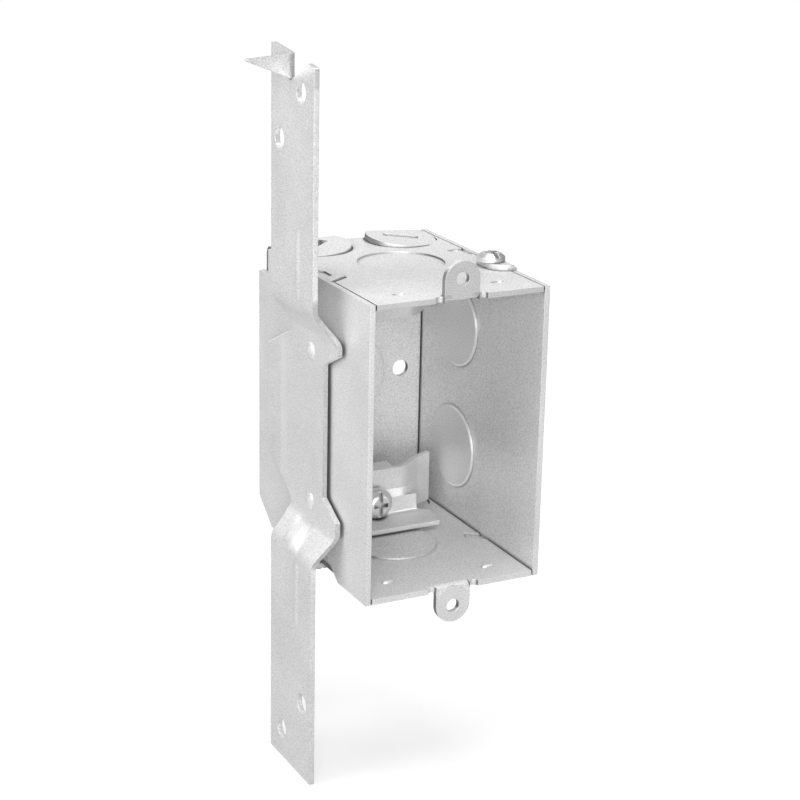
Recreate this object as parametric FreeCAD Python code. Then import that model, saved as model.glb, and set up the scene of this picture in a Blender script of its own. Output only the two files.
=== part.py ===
import FreeCAD, Part
import math
import os

from FreeCAD import Vector

# New work outlet box: a gangable steel device box with a stamped bracket for the side of a stud.
# Millimetres. X runs to the right across the opening, Y runs back into the wall, Z runs up.
# The origin is midway between the two device screw holes, on the front plane of the box.

# Box envelope
BOX_WIDTH = 48.2
BOX_HEIGHT = 75.2
BOX_DEPTH = 64.3
SHEET = 1.4
BODY_BEND = 1.0
SIDE_GAP = 0.35

# Device ears, folded up and down from the front edges of the body
DEVICE_SPACING = 83.34
EAR_WIDTH = 9.4
EAR_HOLE = 3.5
EAR_BEND = 0.8
EAR_RELIEF = 1.15
EAR_REACH = 46.0

# Half sheared conduit knockouts
KNOCKOUT_DIAMETER = 22.2
KNOCKOUT_STEP = 0.5
TOP_KNOCKOUT_FROM_FRONT = 34.6
BOTTOM_KNOCKOUT_FROM_FRONT = 30.2
KNOCKOUT_OFFSET = 1.4
SIDE_KNOCKOUT_FROM_FRONT = 43.3
SIDE_KNOCKOUT_SPACING = 33.6

# Cable pry-outs at the back corners of the top and the bottom
PRYOUT_DIAMETER = 18.6
PRYOUT_OFFSET = 12.2
PRYOUT_FROM_BACK = 7.9
PRYOUT_SLIT = 0.4
PRYOUT_TIE = 5.4
PRYOUT_TIE_ANGLE = 45.0
PRYOUT_LIFT_RIGHT = 1.9
PRYOUT_LIFT_LEFT = 1.4
PRYOUT_SLOT_LENGTH = 9.2
PRYOUT_SLOT_WIDTH = 2.4
PRYOUT_SLOT_ANGLE_RIGHT = -21.0
PRYOUT_SLOT_ANGLE_LEFT = 36.0

# Small pressed stops near the front edges
STOP_LEFT = (-13.4, 6.9)
STOP_RIGHT = (14.0, 8.1)
STOP_LENGTH = 3.4
STOP_HEIGHT = 0.7

# Back wall nail holes
BACK_HOLE = 4.6
BACK_HOLE_OFFSET = 16.4

# Side plates and what joins them to the body
SIDE_LAP = 0.8
SIDE_NOTCH_DEPTH = 5.8
SIDE_NOTCH_HEIGHT = 6.6
CORNER_CUT_DEPTH = 8.4
CORNER_CUT_HEIGHT = 6.4
LAY_GAP = 0.1
TAB_AHEAD = 6.2
TAB_BEHIND = 4.4
TAB_REACH = 6.2
TAB_ROUNDING = 4.8
HOOK_FRONT = 23.2
HOOK_WIDTH = 3.0
HOOK_REACH = 6.2
HOOK_SWEEP = 2.9
HOOK_PROUD = 0.45
HOOK_SLOT_GAP = 0.4
GANG_NOTCH_BACK = 35.6
GANG_NOTCH_WIDTH = 2.2
GANG_NOTCH_SINK = 0.5
LOWER_NOTCH_FRONT = 15.7
LOWER_NOTCH_RUN = 8.4
LOWER_NOTCH_RISE = 6.0
POCKET_FRONT = 35.0
POCKET_BACK = 41.4
POCKET_DEPTH = 1.2
POCKET_DISH_LENGTH = 4.6

# Side plate screws
UPPER_SCREW_FROM_FRONT = 22.2
LOWER_SCREW_FROM_FRONT = 35.5
SIDE_SCREW_FROM_SIDE = 4.0
SIDE_SCREW_DIAMETER = 3.5
SIDE_SCREW_HEAD = 7.2
SIDE_SCREW_HEAD_HEIGHT = 2.1
SIDE_SCREW_LENGTH = 7.9

# Cable clamps
CLAMP_SHEET = 1.3
CLAMP_CENTRE = -0.7
CLAMP_FROM_BACK = 20.7
CLAMP_SIDE_CLEARANCE = 2.0
CLAMP_FACE_SHARE = 0.44
CLAMP_WING_SLOPE = 0.83
CLAMP_TIP_SHARE = 0.25
CLAMP_TIP_SLOPE = 0.5
CLAMP_BEND = 5.2
CLAMP_RIM_HEIGHT = 15.7
CLAMP_WALL_HEIGHT = 13.8
CLAMP_FOOT_BEND = 1.6
CLAMP_FOOT_CLEARANCE = 7.2
CLAMP_FOOT_NECK = 3.0
CLAMP_FOOT_FRONT = 34.6
CLAMP_FOOT_HEIGHT = 0.6
CLAMP_SWELL = 1.0
CLAMP_SWELL_HEIGHT = 6.0
CLAMP_TOP_WIDTH = 12.0
CLAMP_TOP_REACH = 5.0

# Clamp screws
CLAMP_SCREW_HEIGHT = 7.2
CLAMP_SCREW_DIAMETER = 4.1
CLAMP_SCREW_HEAD = 8.2
CLAMP_SCREW_HEAD_HEIGHT = 3.1
CLAMP_SCREW_TIP = 2.4

# Pan shape of every screw head, and its driver recess
HEAD_RIM_SHARE = 0.5
HEAD_CROWN_SHARE = 0.62
DRIVE_SLOT = 1.1
DRIVE_DEPTH = 1.1
THREAD_GAP = 0.1

# Bracket
BRACKET_SHEET = 1.3
BRACKET_TOP = 93.2
BRACKET_BOTTOM = 91.7
BRACKET_GAP = 0.9
BRACKET_STANDOFF = 5.5
BRACKET_BEND = 4.0
STRAP_WIDTH = 24.6
STRAP_FROM_FRONT = 15.0
JOGGLE_START = 24.8
JOGGLE_END = 31.9
GUSSET_FRONT = 24.0
GUSSET_BACK = 34.0
GUSSET_RUN = 2.0
GUSSET_STEEPER = 0.8
EAR_SETBACK = 12.7
EAR_LOW = 21.3
EAR_HIGH = 24.6
EAR_CURVE = 9.0
EAR_LIFT = 0.7
MIDDLE_FROM_FRONT = 20.6
MIDDLE_HALF_HEIGHT = 17.2
WING_FROM_BACK = 8.6
WING_BEND_FROM_FRONT = 43.0
WING_HALF_HEIGHT = 14.0
WING_SLOPE = 0.47
NAIL_HOLE = 5.4
NAIL_SHIFT = 1.1
NAIL_NEAR = 71.2
NAIL_FAR = 83.8
NAIL_ACROSS = 12.4
PRONG_REACH = 12.5
PRONG_TOP = 92.0
PRONG_HEIGHT = 5.9
PRONG_TIP_DROP = 0.9
TAB_SLOPE = 1.1
CREST_RISE = 5.2
CREST_FALL = 0.6
CREST_FROM_FRONT = 4.2
RIB_WIDTH = 2.6
RIB_HEIGHT = 0.25
RIB_FROM_BACK = 15.6
RIB_START = 35.2
RIB_END = 50.0
BUTTON_DIAMETER = 4.8
BUTTON_HEIGHT = 0.8
BUTTON_FROM_FRONT = 28.0
BUTTON_HEIGHT_UP = 19.4

# Worked out from the sizes above
half_width = BOX_WIDTH / 2
half_height = BOX_HEIGHT / 2
body_half = half_width - SHEET - SIDE_GAP
sheet_middle = half_height - SHEET / 2
inner_back = BOX_DEPTH - SHEET
floor_level = -half_height + SHEET
side_depth = BOX_DEPTH + SIDE_LAP
ear_bend_end = EAR_BEND + SHEET
clamp_foot_half = half_width - SHEET - CLAMP_FOOT_CLEARANCE


def plane_xy(level):
    """Places an outline point (x, y) at a height."""
    return lambda u, v: Vector(u, v, level)


def plane_xz(level):
    """Places an outline point (x, z) at a depth."""
    return lambda u, v: Vector(u, level, v)


def plane_yz(level):
    """Places an outline point (y, z) at a distance across."""
    return lambda u, v: Vector(level, u, v)


def box(x_range, y_range, z_range):
    """A block between two limits on each axis."""
    size = [high - low for low, high in (x_range, y_range, z_range)]
    return Part.makeBox(*size, Vector(x_range[0], y_range[0], z_range[0]))


def unit(u, v):
    """The direction of (u, v) with a length of one."""
    length = math.hypot(u, v)
    return u / length, v / length


def face_of(corners, place):
    """A flat face from corners (u, v, radius), with an arc at each corner that has a radius."""
    stations = []
    count = len(corners)
    for index, (u, v, radius) in enumerate(corners):
        before = corners[index - 1]
        after = corners[(index + 1) % count]
        d_in = unit(u - before[0], v - before[1])
        d_out = unit(after[0] - u, after[1] - v)
        cosine = max(-1.0, min(1.0, d_in[0] * d_out[0] + d_in[1] * d_out[1]))
        turn = math.acos(cosine)
        if radius == 0 or turn < 1e-6:
            stations.append((place(u, v), None, place(u, v)))
            continue
        run = radius * math.tan(turn / 2)
        inward = unit(d_out[0] - d_in[0], d_out[1] - d_in[1])
        sag = radius / math.cos(turn / 2) - radius
        start = place(u - d_in[0] * run, v - d_in[1] * run)
        middle = place(u + inward[0] * sag, v + inward[1] * sag)
        end = place(u + d_out[0] * run, v + d_out[1] * run)
        stations.append((start, middle, end))
    edges = []
    for index, (start, middle, end) in enumerate(stations):
        previous = stations[index - 1][2]
        if previous.distanceToPoint(start) > 1e-6:
            edges.append(Part.LineSegment(previous, start).toShape())
        if middle is not None:
            edges.append(Part.Arc(start, middle, end).toShape())
    return Part.Face(Part.Wire(Part.__sortEdges__(edges)))


def strip_corners(path, thickness):
    """The outline of bent sheet whose middle line follows path, a list of (u, v, middle radius)."""
    half = thickness / 2
    left = []
    right = []
    last = len(path) - 1
    for index, (u, v, radius) in enumerate(path):
        d_in = unit(u - path[index - 1][0], v - path[index - 1][1]) if index > 0 else None
        d_out = unit(path[index + 1][0] - u, path[index + 1][1] - v) if index < last else None
        d_in = d_in or d_out
        d_out = d_out or d_in
        n_in = (-d_in[1], d_in[0])
        n_out = (-d_out[1], d_out[0])
        scale = half / (1 + n_in[0] * n_out[0] + n_in[1] * n_out[1])
        shift = ((n_in[0] + n_out[0]) * scale, (n_in[1] + n_out[1]) * scale)
        turns_left = d_in[0] * d_out[1] - d_in[1] * d_out[0] > 0
        left_radius = max(0.0, radius - half if turns_left else radius + half) if radius else 0
        right_radius = max(0.0, radius + half if turns_left else radius - half) if radius else 0
        left.append((u + shift[0], v + shift[1], left_radius))
        right.append((u - shift[0], v - shift[1], right_radius))
    return left + right[::-1]


def half_turn(shape):
    """A copy turned by half a turn about the box's depth axis: left and right, top and bottom swap."""
    return shape.rotated(Vector(0, 0, 0), Vector(0, 1, 0), 180)


def knock_out(shape, centre, axis, depth):
    """Shears a round slug half way through the sheet, displaced along axis."""
    slug = Part.makeCylinder(KNOCKOUT_DIAMETER / 2, depth, centre, axis)
    return shape.cut(slug).fuse(slug.translated(axis * KNOCKOUT_STEP))


def body_sheet():
    """The folded strip: top, back and bottom in one piece."""
    bend = BODY_BEND + SHEET / 2
    back = BOX_DEPTH - SHEET / 2
    top = [(0, sheet_middle, 0), (back, sheet_middle, bend)]
    path = top + [(y, -z, radius) for y, z, radius in top[::-1]]
    section = face_of(strip_corners(path, SHEET), plane_yz(-body_half))
    return section.extrude(Vector(2 * body_half, 0, 0))


def device_ear():
    """The upper ear, folded up at the front edge, with its tapped hole."""
    half = EAR_WIDTH / 2
    hole_level = DEVICE_SPACING / 2
    path = [
        (ear_bend_end, sheet_middle, 0),
        (SHEET / 2, sheet_middle, EAR_BEND + SHEET / 2),
        (SHEET / 2, EAR_REACH - half, 0),
    ]
    fold = face_of(strip_corners(path, SHEET), plane_yz(-half)).extrude(Vector(EAR_WIDTH, 0, 0))
    end = Part.makeCylinder(half, SHEET, Vector(0, 0, EAR_REACH - half), Vector(0, 1, 0))
    hole = Part.makeCylinder(EAR_HOLE / 2, 3 * SHEET, Vector(0, -SHEET, hole_level), Vector(0, 1, 0))
    return fold.fuse(end).cut(hole)


def pry_out(side, lift, slot_angle):
    """One cable pry-out of the top: what it cuts from the sheet, and the lifted slug with its tie."""
    radius = PRYOUT_DIAMETER / 2
    centre = Vector(side * PRYOUT_OFFSET, BOX_DEPTH - PRYOUT_FROM_BACK, 0)
    top = half_height
    under = half_height - SHEET
    angle = math.radians(PRYOUT_TIE_ANGLE)
    outward = Vector(side * math.cos(angle), -math.sin(angle), 0)
    limit = BOX_DEPTH - SHEET - BODY_BEND
    room = box((-body_half, body_half), (0, limit), (under - SHEET, top + SHEET + lift))
    opening = Part.makeCylinder(radius + PRYOUT_SLIT, 3 * SHEET, centre + Vector(0, 0, under - SHEET))
    opening = opening.common(room)
    slug = Part.makeCylinder(radius, SHEET, centre + Vector(0, 0, under))
    slug = slug.common(box((-body_half, body_half), (0, limit - PRYOUT_SLIT), (under, top)))
    slot = box(
        (-PRYOUT_SLOT_LENGTH / 2, PRYOUT_SLOT_LENGTH / 2),
        (-PRYOUT_SLOT_WIDTH / 2, PRYOUT_SLOT_WIDTH / 2),
        (under - SHEET, top + SHEET),
    )
    slot = slot.rotated(Vector(0, 0, 0), Vector(0, 0, 1), slot_angle)
    slug = slug.cut(slot.translated(centre))
    hinge = centre + outward * radius + Vector(0, 0, top)
    turn_axis = Vector(-outward.y, outward.x, 0)
    rise = math.degrees(math.asin(lift / PRYOUT_DIAMETER))
    slug = slug.rotated(hinge, turn_axis, rise)
    bar = box((-PRYOUT_SLIT - SHEET, PRYOUT_SLIT + SHEET), (-PRYOUT_TIE / 2, PRYOUT_TIE / 2), (under, top))
    bar = bar.rotated(Vector(0, 0, 0), Vector(0, 0, 1), math.degrees(math.atan2(outward.y, outward.x)))
    bar = bar.translated(centre + outward * radius)
    return opening, slug, bar


def pressed_stop(place):
    """A small oval stop pressed into the box from the top."""
    ball = Part.makeSphere(1.0)
    scale = FreeCAD.Matrix()
    scale.scale(STOP_LENGTH / 2, STOP_LENGTH / 4, STOP_HEIGHT)
    stop = ball.transformGeometry(scale)
    return stop.translated(Vector(place[0], place[1], half_height - SHEET))


def side_screw_place(from_front):
    """Where a side plate's screw passes through the body, for the plate at the right."""
    return Vector(half_width - SIDE_SCREW_FROM_SIDE, from_front, half_height)


def side_screw_hole(from_front):
    """The tapped hole for a side plate's screw in the top of the body."""
    base = side_screw_place(from_front) - Vector(0, 0, 2 * SHEET)
    return Part.makeCylinder(SIDE_SCREW_DIAMETER / 2 + THREAD_GAP, 3 * SHEET, base)


def clamp_screw_place():
    """Where the lower clamp screw's axis meets the back wall's inner face."""
    return Vector(CLAMP_CENTRE, inner_back, floor_level + CLAMP_SCREW_HEIGHT)


def body_half_cuts():
    """Everything cut from the upper right half of the body; a half turn gives the lower left."""
    across = (-EAR_WIDTH / 2, EAR_WIDTH / 2)
    through = (half_height - 2 * SHEET, half_height + SHEET)
    cuts = [box(across, (-SHEET, ear_bend_end), through)]
    for side in (-1, 1):
        relief = Vector(side * (EAR_WIDTH / 2 + EAR_RELIEF), 0, through[0])
        cuts.append(Part.makeCylinder(EAR_RELIEF, 3 * SHEET, relief))
    for place in (STOP_LEFT, STOP_RIGHT):
        cuts.append(pressed_stop(place).translated(Vector(0, 0, SHEET)))
    notch = face_of(hook_corners(HOOK_SLOT_GAP), plane_xy(through[0]))
    cuts.append(notch.extrude(Vector(0, 0, 3 * SHEET)))
    notch_end = -body_half + GANG_NOTCH_WIDTH
    open_notch = [
        (-body_half - SHEET, HOOK_FRONT, 0),
        (notch_end, HOOK_FRONT + HOOK_WIDTH, 0),
        (notch_end, GANG_NOTCH_BACK - GANG_NOTCH_WIDTH, GANG_NOTCH_WIDTH / 2),
        (-body_half, GANG_NOTCH_BACK, 0),
        (-body_half - SHEET, GANG_NOTCH_BACK, 0),
    ]
    sunk = face_of(open_notch, plane_xy(half_height - GANG_NOTCH_SINK))
    cuts.append(sunk.extrude(Vector(0, 0, 2 * SHEET)))
    clamp_hole = CLAMP_SCREW_DIAMETER / 2 + THREAD_GAP
    base = half_turn(Part.Vertex(clamp_screw_place())).Point - Vector(0, SHEET, 0)
    cuts.append(Part.makeCylinder(clamp_hole, 3 * SHEET, base, Vector(0, 1, 0)))
    nail = Vector(BACK_HOLE_OFFSET, inner_back - SHEET, 0)
    cuts.append(Part.makeCylinder(BACK_HOLE / 2, 3 * SHEET, nail, Vector(0, 1, 0)))
    return cuts


def gang_pocket():
    """The upper right gang slot, with the shallow hollow that is pressed into the top beside it."""
    through = (half_height - 2 * SHEET, half_height + SHEET)
    slot = box((body_half - POCKET_DEPTH, body_half + SHEET), (POCKET_FRONT, POCKET_BACK), through)
    ball = Part.makeSphere(1.0)
    scale = FreeCAD.Matrix()
    scale.scale(POCKET_DISH_LENGTH / 2, POCKET_DISH_LENGTH / 4, SHEET * 0.6)
    across = body_half - POCKET_DEPTH - POCKET_DISH_LENGTH / 4
    middle = Vector(across, POCKET_BACK - POCKET_DEPTH, half_height)
    return [slot, ball.transformGeometry(scale).translated(middle)]


def box_body():
    """The body: folded sheet with ears, knockouts, pry-outs, stops, slots and holes."""
    shape = body_sheet()
    cuts = body_half_cuts()
    single = gang_pocket() + [side_screw_hole(UPPER_SCREW_FROM_FRONT)]
    single += [half_turn(side_screw_hole(LOWER_SCREW_FROM_FRONT))]
    shape = shape.cut(cuts + [half_turn(cut) for cut in cuts] + single)
    stops = [pressed_stop(place) for place in (STOP_LEFT, STOP_RIGHT)]
    inner = box((-half_width, half_width), (0, BOX_DEPTH), (-half_height, half_height - SHEET))
    additions = [device_ear()] + [stop.common(inner) for stop in stops]
    right = pry_out(1, PRYOUT_LIFT_RIGHT, PRYOUT_SLOT_ANGLE_RIGHT)
    left = pry_out(-1, PRYOUT_LIFT_LEFT, PRYOUT_SLOT_ANGLE_LEFT)
    openings = [right[0], left[0]]
    additions += [right[1], right[2], left[1], left[2]]
    shape = shape.cut(openings + [half_turn(opening) for opening in openings])
    shape = shape.fuse(additions + [half_turn(addition) for addition in additions])
    top = Vector(KNOCKOUT_OFFSET, TOP_KNOCKOUT_FROM_FRONT, half_height)
    bottom = Vector(-KNOCKOUT_OFFSET, BOTTOM_KNOCKOUT_FROM_FRONT, -half_height)
    shape = knock_out(shape, top, Vector(0, 0, -1), SHEET)
    shape = knock_out(shape, bottom, Vector(0, 0, 1), SHEET)
    shape = knock_out(shape, Vector(0, BOX_DEPTH, 0), Vector(0, -1, 0), SHEET)
    return shape.removeSplitter()


def overlay(z_low, x_reach):
    """Sheet that leaves the right plate's upper edge and lies over the top of the body."""
    middle = half_width - SHEET / 2
    level = half_height + LAY_GAP + SHEET / 2
    path = [(middle, z_low, 0), (middle, level, SHEET / 2 + LAY_GAP), (x_reach, level, 0)]
    section = face_of(strip_corners(path, SHEET), plane_xz(0))
    return section.extrude(Vector(0, BOX_DEPTH, 0))


def screw_tab(from_front):
    """The tab of the right plate that its screw holds down on the body."""
    inner = half_width - TAB_REACH
    front = from_front - TAB_AHEAD
    back = from_front + TAB_BEHIND
    outline = [
        (half_width + SHEET, front, 0),
        (half_width + SHEET, back, 0),
        (inner, back, SHEET),
        (inner, front, TAB_ROUNDING),
    ]
    low = half_height - 2 * SHEET
    column = face_of(outline, plane_xy(low)).extrude(Vector(0, 0, 5 * SHEET))
    hole = SIDE_SCREW_DIAMETER / 2 + 2 * THREAD_GAP
    place = side_screw_place(from_front)
    slot = Part.makeCylinder(hole, 5 * SHEET, place - Vector(0, 0, SHEET))
    open_end = box(
        (place.x - hole, place.x + hole),
        (place.y, back + SHEET),
        (place.z - SHEET, place.z + 4 * SHEET),
    )
    slot = slot.fuse(open_end)
    edge = box((half_width - SHEET, half_width), (0, BOX_DEPTH), (low, half_height))
    return overlay(low, inner - SHEET).common(column).cut(slot.cut(edge))


def hook_corners(gap):
    """The hook's outline seen from above, as corners (x, y, radius), grown by a gap."""
    outer = -half_width
    tip = outer + HOOK_REACH + gap
    sweep = HOOK_SWEEP * (HOOK_REACH + gap) / HOOK_REACH
    front = HOOK_FRONT - gap
    width = HOOK_WIDTH + 2 * gap
    return [
        (outer - SHEET, front, 0),
        (outer + SHEET, front, 0),
        (tip, front + sweep, width / 4),
        (tip - width / 3, front + sweep + width, width / 4),
        (outer + SHEET, front + width, 0),
        (outer - SHEET, front + width, 0),
    ]


def gang_hook():
    """The swept finger of the left plate that lies in its slot in the top of the body."""
    low = half_height - 2 * SHEET
    middle = -half_width + SHEET / 2
    level = half_height + HOOK_PROUD - SHEET / 2
    path = [(middle, low, 0), (middle, level, SHEET / 2 + LAY_GAP), (0, level, 0)]
    sheet = face_of(strip_corners(path, SHEET), plane_xz(0)).extrude(Vector(0, BOX_DEPTH, 0))
    column = face_of(hook_corners(0), plane_xy(low)).extrude(Vector(0, 0, 5 * SHEET))
    return sheet.common(column)


def square_corner():
    """The notched rear corner of a side plate, as corners (y, z, radius) from its long edge inwards."""
    depth = side_depth - SIDE_NOTCH_DEPTH
    level = half_height - SIDE_NOTCH_HEIGHT
    return [(depth, half_height, 0), (depth, level, SHEET / 2), (side_depth, level, SHEET / 2)]


def cut_corner():
    """The rear corner of a side plate that is cut off at a slant."""
    depth = side_depth - CORNER_CUT_DEPTH
    level = half_height - CORNER_CUT_HEIGHT
    return [(depth, half_height, SHEET), (side_depth, level, SHEET)]


def full_corner():
    """The rear corner of a side plate that is left whole."""
    return [(side_depth, half_height, SHEET / 2)]


def side_plate(low_corner, high_corner, screw_from_front):
    """A side plate at the right, without knockouts: a half turn of it gives one at the left."""
    outline = [(0, half_height, 0), (0, -half_height, 0)]
    outline += [(y, -z, radius) for y, z, radius in low_corner] + high_corner[::-1]
    plate = face_of(outline, plane_yz(half_width - SHEET)).extrude(Vector(SHEET, 0, 0))
    return plate.fuse([screw_tab(screw_from_front), half_turn(gang_hook())])


def right_side_plate():
    """The right plate with its two conduit knockouts."""
    shape = side_plate(cut_corner(), full_corner(), UPPER_SCREW_FROM_FRONT)
    for side in (-1, 1):
        centre = Vector(half_width, SIDE_KNOCKOUT_FROM_FRONT, side * SIDE_KNOCKOUT_SPACING / 2)
        shape = knock_out(shape, centre, Vector(-1, 0, 0), SHEET)
    return shape.removeSplitter()


def left_side_plate():
    """The left plate: notched behind above, and below cut at a slant and notched ahead of its tab."""
    shape = half_turn(side_plate(square_corner(), cut_corner(), LOWER_SCREW_FROM_FRONT))
    notch_back = LOWER_SCREW_FROM_FRONT - TAB_AHEAD
    ceiling = -half_height + LOWER_NOTCH_RISE
    outline = [
        (LOWER_NOTCH_FRONT, -half_height - SHEET, 0),
        (LOWER_NOTCH_FRONT, -half_height, SHEET / 2),
        (LOWER_NOTCH_FRONT + LOWER_NOTCH_RUN, ceiling, SHEET / 2),
        (notch_back, ceiling, SHEET / 2),
        (notch_back, -half_height - SHEET, 0),
    ]
    notch = face_of(outline, plane_yz(-half_width - SHEET)).extrude(Vector(3 * SHEET, 0, 0))
    return shape.cut(notch).removeSplitter()


def bracket_outline(strap_back, tab_front):
    """The bracket's outline seen from the side, as corners (y, z, radius)."""
    front = STRAP_FROM_FRONT
    wing_back = side_depth - WING_FROM_BACK
    wing_foot = WING_HALF_HEIGHT + (wing_back - strap_back) * WING_SLOPE
    notch_foot = PRONG_TOP - PRONG_HEIGHT - BRACKET_SHEET / 4
    crest = notch_foot + CREST_RISE
    ear = [
        (front, JOGGLE_END, BRACKET_SHEET * 2),
        (EAR_SETBACK, EAR_HIGH, EAR_CURVE),
        (EAR_SETBACK, EAR_LOW, BRACKET_SHEET / 4),
        (MIDDLE_FROM_FRONT, MIDDLE_HALF_HEIGHT, BRACKET_SHEET / 2),
    ]
    foot = [(strap_back, -BRACKET_BOTTOM, 0), (front, -BRACKET_BOTTOM, 0)]
    lower = foot + [(y, EAR_LIFT - z, radius) for y, z, radius in ear]
    upper = [(y, EAR_LIFT + z, radius) for y, z, radius in ear[::-1]]
    top = [
        (front, crest - CREST_FALL, BRACKET_SHEET / 2),
        (front + CREST_FROM_FRONT, crest, BRACKET_SHEET * 2),
        (tab_front - BRACKET_SHEET, notch_foot, BRACKET_SHEET / 4),
        (tab_front, notch_foot, 0),
        (tab_front, BRACKET_TOP - TAB_SLOPE, 0),
        (strap_back, BRACKET_TOP, BRACKET_SHEET / 4),
    ]
    wing = [
        (strap_back, wing_foot, BRACKET_SHEET),
        (wing_back, WING_HALF_HEIGHT, BRACKET_SHEET),
        (wing_back, -WING_HALF_HEIGHT, BRACKET_SHEET),
        (strap_back, -wing_foot, BRACKET_SHEET),
    ]
    return lower + upper + top + wing


def dome(place, diameter, height):
    """A low round cap that rises towards the stud from a face, as a ball partly sunk in it."""
    radius = (diameter * diameter / 4 + height * height) / (2 * height)
    return Part.makeSphere(radius, place + Vector(radius - height, 0, 0)), radius


def rib_bar(face, across, low, high):
    """A long low rib that rises towards the stud from a face, with rounded ends."""
    radius = (RIB_WIDTH * RIB_WIDTH / 4 + RIB_HEIGHT * RIB_HEIGHT) / (2 * RIB_HEIGHT)
    middle = face + radius - RIB_HEIGHT
    bar = Part.makeCylinder(radius, high - low, Vector(middle, across, low))
    ends = [Part.makeSphere(radius, Vector(middle, across, level)) for level in (low, high)]
    return bar.fuse(ends)


def bracket_wire(depth, strap_x, middle_x, steeper):
    """The section of the bracket's long sheet at a depth, with its two offsets a distance steeper."""
    end = JOGGLE_END - steeper
    start = JOGGLE_START + steeper
    upper = [(strap_x, BRACKET_TOP, 0), (strap_x, end, BRACKET_BEND), (middle_x, start, BRACKET_BEND)]
    lower = [(middle_x, -start, BRACKET_BEND), (strap_x, -end, BRACKET_BEND), (strap_x, -BRACKET_BOTTOM, 0)]
    return face_of(strip_corners(upper + lower, BRACKET_SHEET), plane_xz(depth)).OuterWire


def mounting_bracket():
    """The bracket: strap with offsets, middle plate, wing, prong, nail holes, ribs and buttons."""
    strap_back = STRAP_FROM_FRONT + STRAP_WIDTH
    middle_x = -half_width - BRACKET_GAP - BRACKET_SHEET / 2
    strap_x = middle_x - BRACKET_STANDOFF
    outer_face = strap_x - BRACKET_SHEET / 2
    prong_front = STRAP_FROM_FRONT + STRAP_WIDTH / 2
    prong_bend = BRACKET_SHEET
    tab_front = prong_front + BRACKET_SHEET / 2 + prong_bend
    wing_start = (strap_back + WING_BEND_FROM_FRONT) / 2
    wing_back = side_depth - WING_FROM_BACK

    stations = [
        (0, 0),
        (GUSSET_FRONT, 0),
        (GUSSET_FRONT + GUSSET_RUN, GUSSET_STEEPER),
        (GUSSET_BACK - GUSSET_RUN, GUSSET_STEEPER),
        (GUSSET_BACK, 0),
        (wing_start, 0),
    ]
    wires = [bracket_wire(depth, strap_x, middle_x, steeper) for depth, steeper in stations]
    sheet = Part.makeLoft(wires, True, True)
    seated = -half_width - LAY_GAP - BRACKET_SHEET / 2
    wing_path = [
        (middle_x, wing_start, 0),
        (middle_x, WING_BEND_FROM_FRONT, 2 * BRACKET_SHEET),
        (seated, wing_back, 0),
    ]
    wing_foot = WING_HALF_HEIGHT + (wing_back - strap_back) * WING_SLOPE
    wing = face_of(strip_corners(wing_path, BRACKET_SHEET), plane_xy(-wing_foot))
    wing = wing.extrude(Vector(0, 0, 2 * wing_foot))
    outline = bracket_outline(strap_back, tab_front)
    reach = BRACKET_STANDOFF + 4 * BRACKET_SHEET
    column = face_of(outline, plane_yz(strap_x - 2 * BRACKET_SHEET)).extrude(Vector(reach, 0, 0))
    shape = sheet.fuse(wing).common(column)

    prong_path = [
        (strap_x, tab_front, 0),
        (strap_x, prong_front + BRACKET_SHEET / 2, prong_bend),
        (outer_face - PRONG_REACH, prong_front + BRACKET_SHEET / 2, 0),
    ]
    prong_low = PRONG_TOP - PRONG_HEIGHT
    prong = face_of(strip_corners(prong_path, BRACKET_SHEET), plane_xy(prong_low))
    prong = prong.extrude(Vector(0, 0, PRONG_HEIGHT))
    root = strap_x + BRACKET_SHEET
    taper = [
        (root, prong_low, 0),
        (outer_face, prong_low, 0),
        (outer_face - PRONG_REACH, PRONG_TOP - PRONG_TIP_DROP, BRACKET_SHEET / 4),
        (outer_face, PRONG_TOP, 0),
        (root, PRONG_TOP, 0),
    ]
    prong = prong.common(face_of(taper, plane_xz(0)).extrude(Vector(0, 2 * strap_back, 0)))
    shape = shape.fuse(prong)

    middle_face = middle_x - BRACKET_SHEET / 2
    raised = []
    for side in (-1, 1):
        place = Vector(middle_face, BUTTON_FROM_FRONT, side * BUTTON_HEIGHT_UP)
        raised.append((dome(place, BUTTON_DIAMETER, BUTTON_HEIGHT)[0], middle_face, BUTTON_HEIGHT))
        low, high = sorted((side * RIB_START, side * RIB_END))
        bar = rib_bar(outer_face, strap_back - RIB_FROM_BACK, low, high)
        raised.append((bar, outer_face, RIB_HEIGHT))
    for form, face, height in raised:
        slab = box((face - height, face), (0, BOX_DEPTH), (-BRACKET_BOTTOM, BRACKET_TOP))
        pressed = form.common(slab)
        shape = shape.fuse(pressed).cut(pressed.translated(Vector(BRACKET_SHEET, 0, 0)))

    centre = STRAP_FROM_FRONT + STRAP_WIDTH / 2
    for side in (-1, 1):
        for across, level in ((-side, NAIL_FAR), (side, NAIL_NEAR)):
            depth = centre + side * NAIL_SHIFT + across * NAIL_ACROSS / 2
            start = Vector(outer_face - BRACKET_SHEET, depth, side * level)
            shape = shape.cut(Part.makeCylinder(NAIL_HOLE / 2, 3 * BRACKET_SHEET, start, Vector(1, 0, 0)))
    return shape.removeSplitter()


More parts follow.
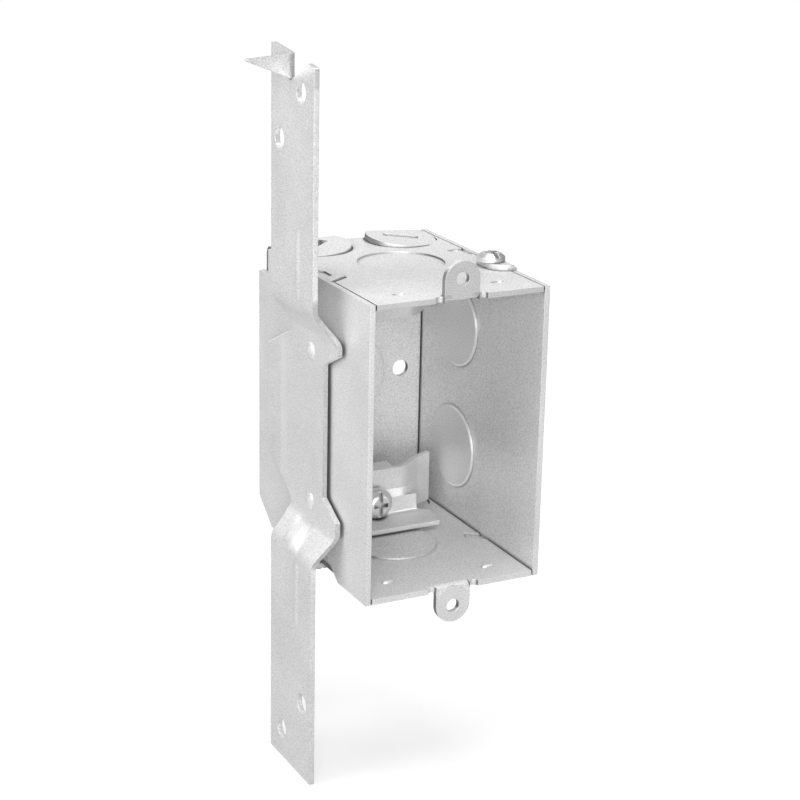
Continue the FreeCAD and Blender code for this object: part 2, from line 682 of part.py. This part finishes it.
def clamp_corners(forward):
    """The middle line of the clamp's wall seen from above, as (x, y, radius), its face swelled forward."""
    face = BOX_DEPTH - CLAMP_FROM_BACK
    reach = half_width - SHEET - CLAMP_SIDE_CLEARANCE - abs(CLAMP_CENTRE)
    half = reach * CLAMP_FACE_SHARE
    tip = reach * CLAMP_TIP_SHARE
    bend = reach - tip
    bend_back = face + (bend - half) * CLAMP_WING_SLOPE
    tip_back = bend_back + tip * CLAMP_TIP_SLOPE
    right = [(half, face - forward, CLAMP_BEND), (bend, bend_back, CLAMP_BEND), (reach, tip_back, 0)]
    left = [(-x, y, radius) for x, y, radius in right[::-1]]
    return [(CLAMP_CENTRE + x, y, radius) for x, y, radius in left + right]


def clamp_wall_wire(level, forward):
    """The closed outline of the clamp's wall at a height."""
    return face_of(strip_corners(clamp_corners(forward), CLAMP_SHEET), plane_xy(level)).OuterWire


def cable_clamp():
    """The lower clamp: a swelled wall with two swept wings, a foot in front and a lip behind."""
    rim = floor_level + CLAMP_RIM_HEIGHT
    low = rim - CLAMP_WALL_HEIGHT
    waist = low + CLAMP_SWELL_HEIGHT
    levels = [(low, CLAMP_SWELL), (waist, CLAMP_SWELL), (waist + 2 * CLAMP_SWELL, 0), (rim, 0)]
    shape = Part.makeLoft([clamp_wall_wire(level, forward) for level, forward in levels], True, True)
    face = BOX_DEPTH - CLAMP_FROM_BACK
    front = face - CLAMP_SWELL
    foot_level = floor_level + KNOCKOUT_STEP + CLAMP_FOOT_HEIGHT + CLAMP_SHEET / 2
    foot_path = [
        (front, waist, 0),
        (front, low + CLAMP_SHEET / 2, CLAMP_FOOT_BEND),
        (CLAMP_FOOT_FRONT, foot_level, 0),
    ]
    half = clamp_foot_half
    foot = face_of(strip_corners(foot_path, CLAMP_SHEET), plane_yz(CLAMP_CENTRE - half))
    foot = foot.extrude(Vector(2 * half, 0, 0))
    middle = clamp_corners(0)[-3][0] - CLAMP_CENTRE - CLAMP_FOOT_NECK
    outline = [
        (CLAMP_CENTRE - half, CLAMP_FOOT_FRONT - CLAMP_SHEET, 2 * CLAMP_SHEET),
        (CLAMP_CENTRE + half, CLAMP_FOOT_FRONT - CLAMP_SHEET, 2 * CLAMP_SHEET),
        (CLAMP_CENTRE + half, front - CLAMP_SHEET, 0),
        (CLAMP_CENTRE + middle, front + CLAMP_SHEET / 2, 0),
        (CLAMP_CENTRE - middle, front + CLAMP_SHEET / 2, 0),
        (CLAMP_CENTRE - half, front - CLAMP_SHEET, 0),
    ]
    column = face_of(outline, plane_xy(floor_level)).extrude(Vector(0, 0, CLAMP_RIM_HEIGHT))
    lip = box(
        (CLAMP_CENTRE - CLAMP_TOP_WIDTH / 2, CLAMP_CENTRE + CLAMP_TOP_WIDTH / 2),
        (face, face + CLAMP_TOP_REACH),
        (rim - CLAMP_SHEET, rim),
    )
    shape = shape.fuse([foot.common(column), lip])
    place = clamp_screw_place()
    start = Vector(place.x, 0, place.z)
    hole = CLAMP_SCREW_DIAMETER / 2 + 3 * THREAD_GAP
    seat = CLAMP_SCREW_HEAD / 2 + 3 * THREAD_GAP
    shape = shape.cut(Part.makeCylinder(hole, BOX_DEPTH, start, Vector(0, 1, 0)))
    shape = shape.cut(Part.makeCylinder(seat, front - CLAMP_SHEET / 2, start, Vector(0, 1, 0)))
    return shape.removeSplitter()


def screw(diameter, length, head, head_height):
    """A pan head screw: its head stands on the origin plane and its shank points down."""
    radius = diameter / 2
    tip = radius / 3
    profile = [
        (0, -length, 0),
        (radius - tip, -length, 0),
        (radius, -length + tip, 0),
        (radius, 0, 0),
        (head / 2, 0, 0),
        (head / 2, head_height * HEAD_RIM_SHARE, head_height / 4),
        (head / 2 * HEAD_CROWN_SHARE, head_height, head_height / 2),
        (0, head_height, 0),
    ]
    solid = face_of(profile, plane_xz(0)).revolve(Vector(0, 0, 0), Vector(0, 0, 1), 360)
    half = DRIVE_SLOT / 2
    low = head_height - DRIVE_DEPTH
    slot = box((-half, half), (-head, head), (low, 2 * head_height))
    arm = head / 4
    cross = box((-arm, arm), (-half, half), (low, 2 * head_height))
    return solid.cut([slot, cross])


def side_screw(from_front):
    """A side plate's screw, standing in the screw tab of the plate at the right."""
    made = screw(SIDE_SCREW_DIAMETER, SIDE_SCREW_LENGTH, SIDE_SCREW_HEAD, SIDE_SCREW_HEAD_HEIGHT)
    seat = side_screw_place(from_front) + Vector(0, 0, SHEET + 2 * LAY_GAP)
    return made.translated(seat)


def clamp_screw():
    """The lower clamp screw, from the clamp's face through the back wall."""
    face = BOX_DEPTH - CLAMP_FROM_BACK - CLAMP_SWELL - CLAMP_SHEET / 2 - LAY_GAP
    place = clamp_screw_place()
    length = BOX_DEPTH + CLAMP_SCREW_TIP - face
    made = screw(CLAMP_SCREW_DIAMETER, length, CLAMP_SCREW_HEAD, CLAMP_SCREW_HEAD_HEIGHT)
    made = made.rotated(Vector(0, 0, 0), Vector(1, 0, 0), 90)
    return made.translated(Vector(place.x, face, place.z))


lower_clamp = cable_clamp()
lower_clamp_screw = clamp_screw()

parts = {
    "box_body": box_body(),
    "left_side_plate": left_side_plate(),
    "right_side_plate": right_side_plate(),
    "mounting_bracket": mounting_bracket(),
    "lower_cable_clamp": lower_clamp,
    "upper_cable_clamp": half_turn(lower_clamp),
    "lower_clamp_screw": lower_clamp_screw,
    "upper_clamp_screw": half_turn(lower_clamp_screw),
    "upper_side_screw": side_screw(UPPER_SCREW_FROM_FRONT),
    "lower_side_screw": half_turn(side_screw(LOWER_SCREW_FROM_FRONT)),
}

os.makedirs("parts", exist_ok=True)
for name, shape in parts.items():
    solid = shape.Solids[0] if len(shape.Solids) == 1 else shape
    solid.exportStep("parts/" + name + ".step")
    print(name, len(shape.Solids), shape.isValid(), round(shape.Volume, 1))
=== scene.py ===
import math

import bpy
from mathutils import Matrix, Vector


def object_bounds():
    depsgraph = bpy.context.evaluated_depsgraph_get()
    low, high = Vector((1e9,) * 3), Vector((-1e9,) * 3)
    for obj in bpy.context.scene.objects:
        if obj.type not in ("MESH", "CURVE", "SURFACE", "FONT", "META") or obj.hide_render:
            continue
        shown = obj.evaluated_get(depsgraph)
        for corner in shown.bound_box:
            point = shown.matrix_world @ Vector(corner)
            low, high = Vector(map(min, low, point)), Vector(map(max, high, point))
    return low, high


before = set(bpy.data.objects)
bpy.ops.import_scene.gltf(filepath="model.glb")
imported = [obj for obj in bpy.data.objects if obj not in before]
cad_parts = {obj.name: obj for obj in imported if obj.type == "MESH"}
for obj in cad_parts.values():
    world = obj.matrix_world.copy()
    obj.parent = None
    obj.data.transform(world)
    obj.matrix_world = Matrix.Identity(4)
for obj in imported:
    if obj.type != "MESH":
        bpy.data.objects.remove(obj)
cad_low, cad_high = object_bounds()

# Grain of the zinc coat, in cells per metre, and the rounding of every sheared edge, in metres
FINE_GRAIN = 3200
CLOUDS = 60
SHEAR_MARKS = 1300
EDGE_ROUNDING = 0.00022
GRAIN_DEPTH = 0.00002
GRAIN_DARKER, GRAIN_LIGHTER = 0.24, 0.15
GRAIN_BUMP = 0.2

# Roughness of the upper faces, and how much the clouds change the roughness of the others
UPPER_ROUGHNESS = 0.65
SMOOTHER, ROUGHER = 0.05, 0.07

# How open a corner is, from fully shaded to unshaded in the painted corner shade, and how squarely a face
# looks one way
CORNER_OPENNESS = (0.25, 0.95)
FACING = (0.7, 0.9)
FACING_UP = (0.7, 0.95)

# Places on the box's body where shade is painted: its front edges, and the level from the lower ear to
# the upper one
FRONT_EDGES = (0.002, 0.004)
EAR_TO_EAR = (-0.03, 0.04)

# Places on the side plates: the knockouts' centre, the painted highlight on their rim and the painted
# shade round it
KNOCKOUT_CENTRE = (0, 0.0433, 0.0168)
KNOCKOUT_FRONT = (0.0413, 0.0463)
RIM = (0.0106, 0.0111)
RIM_LINE = (0.0112, 0.0114)
RIM_SOFTNESS = 0.0001

# Places on the bracket where shade and highlights are painted: the stretch between its offsets, the
# prong, the top edge, the back wing and the highlight patch
BETWEEN_OFFSETS = (-0.031, 0.034)
PRONG_FOOT = (0.0856, 0.0858)
TOP_EDGE = (0.086, 0.088)
WING_NORMAL = (0, 0.425, 0.905)
WING_EDGE = (0.0363, 0.0375)
WING_REACH = (0.042, 0.060)
WING_BEND = (0.0430, 0.0465)
WING_BEND_HEIGHT = (-0.017, 0.017)
HIGHLIGHT_PATCH_DEPTH = (0.0244, 0.0286)
HIGHLIGHT_PATCH_HEIGHT = (-0.0315, -0.0273)


# Finishes of the steel, with painted shade and painted highlights

def new_material(name):
    """A material with its node tree and its shader."""
    material = bpy.data.materials.new(name)
    material.use_nodes = True
    tree = material.node_tree
    shader = tree.nodes["Principled BSDF"]
    return material, tree, shader


def noise(tree, coordinates, scale, detail, roughness, distortion=0.0):
    """A noise pattern on the piece's own coordinates, scale in cells per metre."""
    node = tree.nodes.new("ShaderNodeTexNoise")
    node.inputs["Scale"].default_value = scale
    node.inputs["Detail"].default_value = detail
    node.inputs["Roughness"].default_value = roughness
    node.inputs["Distortion"].default_value = distortion
    tree.links.new(coordinates, node.inputs["Vector"])
    return node.outputs["Fac"]


def ramp(tree, value, stops):
    """A colour ramp through (position, colour) stops."""
    node = tree.nodes.new("ShaderNodeValToRGB")
    elements = node.color_ramp.elements
    elements[0].position, elements[0].color = stops[0][0], (*stops[0][1], 1)
    elements[1].position, elements[1].color = stops[-1][0], (*stops[-1][1], 1)
    for position, colour in stops[1:-1]:
        elements.new(position).color = (*colour, 1)
    tree.links.new(value, node.inputs["Fac"])
    return node.outputs["Color"]


def between(tree, value, low, high, at_low, at_high):
    """Maps a value from one range to another, held at both ends."""
    node = tree.nodes.new("ShaderNodeMapRange")
    node.inputs["From Min"].default_value = low
    node.inputs["From Max"].default_value = high
    node.inputs["To Min"].default_value = at_low
    node.inputs["To Max"].default_value = at_high
    tree.links.new(value, node.inputs["Value"])
    return node.outputs["Result"]


def combined(tree, operation, first, second):
    """Two values put together by a math operation."""
    node = tree.nodes.new("ShaderNodeMath")
    node.operation = operation
    tree.links.new(first, node.inputs[0])
    tree.links.new(second, node.inputs[1])
    return node.outputs["Value"]


def larger(tree, first, second):
    """The larger of two values."""
    return combined(tree, "MAXIMUM", first, second)


def smaller(tree, first, second):
    """The smaller of two values."""
    return combined(tree, "MINIMUM", first, second)


def window(tree, value, span, soft):
    """One inside a range and nothing outside it, with soft limits."""
    low, high = span
    rise = between(tree, value, low - soft, low + soft, 0.0, 1.0)
    fall = between(tree, value, high - soft, high + soft, 1.0, 0.0)
    return smaller(tree, rise, fall)


def multiplied(tree, colour, shade):
    """A colour darkened by a value or by another colour."""
    mix = tree.nodes.new("ShaderNodeMix")
    mix.data_type = "RGBA"
    mix.blend_type = "MULTIPLY"
    mix.inputs["Factor"].default_value = 1.0
    tree.links.new(colour, mix.inputs["A"])
    tree.links.new(shade, mix.inputs["B"])
    return mix.outputs["Result"]


def brightened(tree, colour, share):
    """A colour taken towards white by a share."""
    mix = tree.nodes.new("ShaderNodeMix")
    mix.data_type = "RGBA"
    mix.inputs["B"].default_value = (1, 1, 1, 1)
    tree.links.new(share, mix.inputs["Factor"])
    tree.links.new(colour, mix.inputs["A"])
    return mix.outputs["Result"]


def painted_corner_shade(tree, reach, dark):
    """Painted shade: darkens corners, gaps between parts and recesses where shade falls, within a reach
    in metres.
    """
    node = tree.nodes.new("ShaderNodeAmbientOcclusion")
    node.samples = 8
    node.inputs["Distance"].default_value = reach
    return between(tree, node.outputs["AO"], *CORNER_OPENNESS, dark, 1.0)


def vector_math(tree, operation, vector, other):
    """The outputs of a vector operation with a second, fixed vector."""
    node = tree.nodes.new("ShaderNodeVectorMath")
    node.operation = operation
    node.inputs[1].default_value = other
    tree.links.new(vector, node.inputs[0])
    return node.outputs


def along(tree, vector, direction):
    """How far a vector reaches along a direction."""
    return vector_math(tree, "DOT_PRODUCT", vector, direction)["Value"]


def axes(tree, coordinates):
    """The place on the piece along each axis, in metres."""
    split = tree.nodes.new("ShaderNodeSeparateXYZ")
    tree.links.new(coordinates.outputs["Object"], split.inputs["Vector"])
    return [split.outputs[axis] for axis in "XYZ"]


def facing(tree, coordinates, direction, shade):
    """A factor for the faces that look one way: painted shade on them, such as on the sheared edges of
    the sheet, or a mask.
    """
    turned = along(tree, coordinates.outputs["Normal"], direction)
    return between(tree, turned, *FACING, 1.0, shade)


def grey(level):
    """A neutral colour."""
    return (level, level, level)


def zinc_sheet(name, tint, metal, rough, grain=1.0, painted_corner_dark=0.45, reach=0.0012):
    """Zinc-coated sheet: a fine mottled grain, soft clouds, painted shade in corners and gaps, and matt
    upper faces.
    """
    material, tree, shader = new_material(name)
    coordinates = tree.nodes.new("ShaderNodeTexCoord")
    place = coordinates.outputs["Object"]
    fine = noise(tree, place, FINE_GRAIN, 2, 0.5)
    cloud = noise(tree, place, CLOUDS, 4, 0.55, 0.4)
    low = grey(tint * (1 - GRAIN_DARKER * grain))
    high = grey(min(1.0, tint * (1 + GRAIN_LIGHTER * grain)))
    colour = ramp(tree, fine, [(0.32, low), (0.5, grey(tint)), (0.68, high)])
    patches = ramp(tree, cloud, [(0.3, grey(0.95)), (0.7, grey(1.0))])
    colour = multiplied(tree, colour, patches)
    # Painted shade in corners and in gaps between parts
    colour = multiplied(tree, colour, painted_corner_shade(tree, reach, painted_corner_dark))
    tree.links.new(colour, shader.inputs["Base Color"])
    shader.inputs["Metallic"].default_value = metal
    roughness = between(tree, cloud, 0.3, 0.7, rough - SMOOTHER, rough + ROUGHER)
    upward = along(tree, coordinates.outputs["Normal"], (0, 0, 1))
    matt = between(tree, upward, *FACING_UP, 0.0, UPPER_ROUGHNESS)
    tree.links.new(larger(tree, roughness, matt), shader.inputs["Roughness"])
    edge = tree.nodes.new("ShaderNodeBevel")
    edge.samples = 6
    edge.inputs["Radius"].default_value = EDGE_ROUNDING
    bump = tree.nodes.new("ShaderNodeBump")
    bump.inputs["Strength"].default_value = GRAIN_BUMP * grain
    bump.inputs["Distance"].default_value = GRAIN_DEPTH
    tree.links.new(fine, bump.inputs["Height"])
    tree.links.new(edge.outputs["Normal"], bump.inputs["Normal"])
    tree.links.new(bump.outputs["Normal"], shader.inputs["Normal"])
    return material, tree, shader, coordinates, colour


def body_steel():
    """The body's sheet: painted shade darkens its front-facing faces at the front edge, more towards the
    upper ear, and darkens its left-facing side edges.
    """
    material, tree, shader, coordinates, colour = zinc_sheet("body zinc coat", 0.82, 0.6, 0.44)
    _, y, z = axes(tree, coordinates)
    # Painted shade: front-facing faces at the front edge are darkened, growing towards the upper ear
    level = between(tree, z, *EAR_TO_EAR, 1.0, 0.0)
    behind = between(tree, y, *FRONT_EDGES, 0.0, 1.0)
    front = facing(tree, coordinates, (0, -1, 0), 0.76)
    painted_front_shade = larger(tree, front, larger(tree, level, behind))
    colour = multiplied(tree, colour, painted_front_shade)
    # Painted shade: the left-facing side edges are darkened
    colour = multiplied(tree, colour, facing(tree, coordinates, (-1, 0, 0), 0.3))
    tree.links.new(colour, shader.inputs["Base Color"])
    return material


def bracket_steel():
    """The bracket's sheet: painted shade on its front-facing and up-facing edges, shear marks on its
    front-facing edges, and painted highlights on the wing edge, the wing's bend and a patch on the lower
    offset.
    """
    material, tree, shader, coordinates, colour = zinc_sheet(
        "bracket zinc coat", 0.83, 0.6, 0.40, painted_corner_dark=0.85
    )
    _, y, z = axes(tree, coordinates)
    middle = window(tree, z, BETWEEN_OFFSETS, 0.002)
    prong = between(tree, z, *PRONG_FOOT, 0.0, 1.0)
    top = between(tree, z, *TOP_EDGE, 0.0, 1.0)
    # Painted shade: darkens the front-facing faces between the offsets and on the prong, the slanted ear
    # edges and the up-facing top edge
    for direction, shade, where in (
        ((0, -1, 0), 0.66, middle),
        ((0, -0.75, 0.66), 0.70, middle),
        ((0, -1, 0), 0.76, prong),
        ((0, 0, 1), 0.72, top),
    ):
        shaded = facing(tree, coordinates, direction, shade)
        elsewhere = between(tree, where, 0.0, 1.0, 1.0, 0.0)
        colour = multiplied(tree, colour, larger(tree, shaded, elsewhere))

    shear = noise(tree, coordinates.outputs["Object"], SHEAR_MARKS, 1, 0.5)
    marks = larger(tree, between(tree, shear, 0.35, 0.65, 0.9, 1.0), prong)
    plain = facing(tree, coordinates, (0, -1, 0), 0.0)
    colour = multiplied(tree, colour, larger(tree, marks, plain))

    slope = along(tree, coordinates.outputs["Object"], WING_NORMAL)
    # Painted highlight: a soft bright patch on the slope of the lower offset
    painted_highlight_patch = smaller(
        tree, window(tree, y, HIGHLIGHT_PATCH_DEPTH, 0.0010), window(tree, z, HIGHLIGHT_PATCH_HEIGHT, 0.0010)
    )
    # Painted highlight: a thin bright line along the wing's slanted upper edge
    wing_edge = smaller(
        tree, window(tree, slope, WING_EDGE, 0.0001), window(tree, y, WING_REACH, 0.0005)
    )
    # Painted highlight: a faint bright band along the wing's bend
    bend = between(tree, window(tree, y, WING_BEND, 0.0012), 0.0, 1.0, 0.0, 0.3)
    bend = smaller(tree, bend, window(tree, z, WING_BEND_HEIGHT, 0.002))
    bright = larger(tree, larger(tree, painted_highlight_patch, wing_edge), bend)
    tree.links.new(brightened(tree, colour, bright), shader.inputs["Base Color"])
    return material


def side_steel():
    """The side plates' sheet: painted highlight on the front half of the right plate's knockout rims,
    with painted shade round them.
    """
    material, tree, shader, coordinates, colour = zinc_sheet(
        "side plate zinc coat", 0.79, 0.6, 0.46, painted_corner_dark=0.22, reach=0.0013
    )
    x, y, _ = axes(tree, coordinates)
    right = between(tree, x, 0.0, 0.001, 0.0, 1.0)
    front = between(tree, y, *KNOCKOUT_FRONT, 1.0, 0.0)
    shown = smaller(tree, right, front)
    flat = vector_math(tree, "MULTIPLY", coordinates.outputs["Object"], (0, 1, 1))["Vector"]
    folded = vector_math(tree, "ABSOLUTE", flat, (0, 0, 0))["Vector"]
    radius = vector_math(tree, "DISTANCE", folded, KNOCKOUT_CENTRE)["Value"]
    # Painted shade: a dark ring round the front half of the right plate's knockouts
    line = smaller(tree, window(tree, radius, RIM_LINE, RIM_SOFTNESS), shown)
    colour = multiplied(tree, colour, between(tree, line, 0.0, 1.0, 1.0, 0.5))
    # Painted highlight: a bright rim on the front half of the right plate's knockouts
    rim = smaller(tree, window(tree, radius, RIM, RIM_SOFTNESS), shown)
    tree.links.new(brightened(tree, colour, rim), shader.inputs["Base Color"])
    return material


body_finish = body_steel()
bracket_finish = bracket_steel()
side_finish = side_steel()
clamp_finish = zinc_sheet("clamp bright zinc", 0.84, 0.7, 0.34, grain=0.5, painted_corner_dark=0.2)[0]
screw_finish = zinc_sheet("screw bright zinc", 0.80, 0.8, 0.36, grain=0.2, painted_corner_dark=0.1, reach=0.0010)[0]

finishes = {
    "box_body": body_finish,
    "left_side_plate": side_finish,
    "right_side_plate": side_finish,
    "mounting_bracket": bracket_finish,
    "upper_cable_clamp": clamp_finish,
    "lower_cable_clamp": clamp_finish,
    "upper_clamp_screw": screw_finish,
    "lower_clamp_screw": screw_finish,
    "upper_side_screw": screw_finish,
    "lower_side_screw": screw_finish,
}
for name, finish in finishes.items():
    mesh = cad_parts[name].data
    mesh.materials.clear()
    mesh.materials.append(finish)


# Floor and background

FLOOR_WIDTH = 30
FLOOR_GAP = 0.0005
FLOOR_SHADE = 0.93
FLOOR_PAPER = 0.42
FLOOR_MIRRORED = 0.29
SWEEP_START, SWEEP_END = 0.25, 1.0
SWEEP_NEAR, SWEEP_FAR = 0.62, 0.9
SKY_LIGHT = 0.2
SKY_SEEN = 1.0


def chosen(tree, factor, first, second):
    """The first shader, or the second where the factor is one."""
    mix = tree.nodes.new("ShaderNodeMixShader")
    tree.links.new(factor, mix.inputs["Fac"])
    tree.links.new(first, mix.inputs[1])
    tree.links.new(second, mix.inputs[2])
    return mix.outputs["Shader"]


def floor_paper(tree, shader):
    """The pale floor: it stays plain in the metal and fades into the background in the picture."""
    seen = tree.nodes.new("ShaderNodeLightPath")
    paper = tree.nodes.new("ShaderNodeBsdfDiffuse")
    paper.inputs["Color"].default_value = (*grey(FLOOR_PAPER), 1)
    place = tree.nodes.new("ShaderNodeTexCoord").outputs["Object"]
    away = tree.nodes.new("ShaderNodeVectorMath")
    away.operation = "LENGTH"
    tree.links.new(place, away.inputs[0])
    glow = tree.nodes.new("ShaderNodeEmission")
    sweep = between(tree, away.outputs["Value"], SWEEP_START, SWEEP_END, SWEEP_NEAR, SWEEP_FAR)
    tree.links.new(sweep, glow.inputs["Strength"])
    lit_paper = tree.nodes.new("ShaderNodeAddShader")
    tree.links.new(paper.outputs["BSDF"], lit_paper.inputs[0])
    tree.links.new(glow.outputs["Emission"], lit_paper.inputs[1])
    mirrored = tree.nodes.new("ShaderNodeEmission")
    mirrored.inputs["Strength"].default_value = FLOOR_MIRRORED
    in_gloss = chosen(
        tree, seen.outputs["Is Glossy Ray"], shader.outputs["BSDF"], mirrored.outputs["Emission"]
    )
    in_view = chosen(tree, seen.outputs["Is Camera Ray"], in_gloss, lit_paper.outputs["Shader"])
    tree.links.new(in_view, tree.nodes["Material Output"].inputs["Surface"])


floor_material, floor_tree, floor_shader = new_material("pale floor")
floor_shader.inputs["Base Color"].default_value = (*grey(FLOOR_SHADE), 1)
floor_shader.inputs["Roughness"].default_value = 0.8
floor_paper(floor_tree, floor_shader)
bpy.ops.object.select_all(action="DESELECT")
bpy.ops.mesh.primitive_plane_add(size=FLOOR_WIDTH, location=(0, 0, cad_low.z - FLOOR_GAP))
floor = bpy.context.object
floor.name = "floor"
bpy.ops.object.transform_apply(location=True, rotation=True, scale=True)
floor.data.materials.append(floor_material)

world = bpy.data.worlds.new("studio")
bpy.context.scene.world = world
world.use_nodes = True
sky = world.node_tree
background = sky.nodes["Background"]
background.inputs["Color"].default_value = (1, 1, 1, 1)
background.inputs["Strength"].default_value = SKY_LIGHT
backdrop = sky.nodes.new("ShaderNodeBackground")
backdrop.inputs["Strength"].default_value = SKY_SEEN
ray = sky.nodes.new("ShaderNodeLightPath")
sky_seen = chosen(
    sky, ray.outputs["Is Camera Ray"], background.outputs["Background"], backdrop.outputs["Background"]
)
sky.links.new(sky_seen, sky.nodes["World Output"].inputs["Surface"])


# Lamps

STUDIO_MIDDLE = Vector((0, 0.03, 0))

# Each lamp: its direction from the box, its distance and width in metres, and its power in watts
LAMPS = {
    "key from above": ((0, -0.15, 1), 0.8, 0.5, 4.1),
    "high left": ((-1, 0.1, 0.7), 0.8, 0.5, 3.35),
    "left": ((-1, -0.2, 0.12), 0.8, 0.6, 1.5),
    "beside the camera": ((-0.436, -0.845, 0.31), 0.9, 0.5, 5.65),
    "low front": ((-0.1, -1, 0.02), 0.8, 0.4, 1.6),
    "behind at the left": ((-0.334, 0.845, 0.419), 0.8, 0.4, 0.42),
    "behind at the right": ((0.436, 0.845, 0.31), 0.8, 0.5, 0.6),
}


def soft_lamp(name, direction, distance, width, power):
    """A square soft lamp that is turned towards the box."""
    data = bpy.data.lights.new(name, "AREA")
    data.shape = "SQUARE"
    data.size = width
    data.energy = power
    lamp = bpy.data.objects.new(name, data)
    bpy.context.scene.collection.objects.link(lamp)
    lamp.location = STUDIO_MIDDLE + Vector(direction).normalized() * distance
    lamp.rotation_euler = (STUDIO_MIDDLE - lamp.location).to_track_quat("-Z", "Y").to_euler()


for lamp_name, setting in LAMPS.items():
    soft_lamp(lamp_name, *setting)


# Camera, at the photograph's viewing angle

CAMERA_PLACE = (-0.219877, -0.395200, 0.158804)
AZIMUTH, ELEVATION, ROLL = 0.4764549, 0.31506527, 0.02162521
FOCAL_PIXELS = 1987.297
PICTURE_PIXELS = 800
SENSOR_WIDTH = 36

level_reach = math.cos(ELEVATION)
forward = Vector((math.sin(AZIMUTH) * level_reach, math.cos(AZIMUTH) * level_reach, -math.sin(ELEVATION)))
level_right = Vector((math.cos(AZIMUTH), -math.sin(AZIMUTH), 0))
level_up = level_right.cross(forward)
right = math.cos(ROLL) * level_right + math.sin(ROLL) * level_up
up = -math.sin(ROLL) * level_right + math.cos(ROLL) * level_up
camera_data = bpy.data.cameras.new("camera")
camera_data.sensor_width = SENSOR_WIDTH
camera_data.sensor_fit = "HORIZONTAL"
camera_data.lens = FOCAL_PIXELS * SENSOR_WIDTH / PICTURE_PIXELS
camera_data.clip_start = 0.01
camera_data.clip_end = 60
camera = bpy.data.objects.new("camera", camera_data)
bpy.context.scene.collection.objects.link(camera)
turn = Matrix((right, up, -forward)).transposed().to_4x4()
camera.matrix_world = Matrix.Translation(CAMERA_PLACE) @ turn
bpy.context.scene.camera = camera

bpy.context.scene.view_settings.view_transform = "Standard"
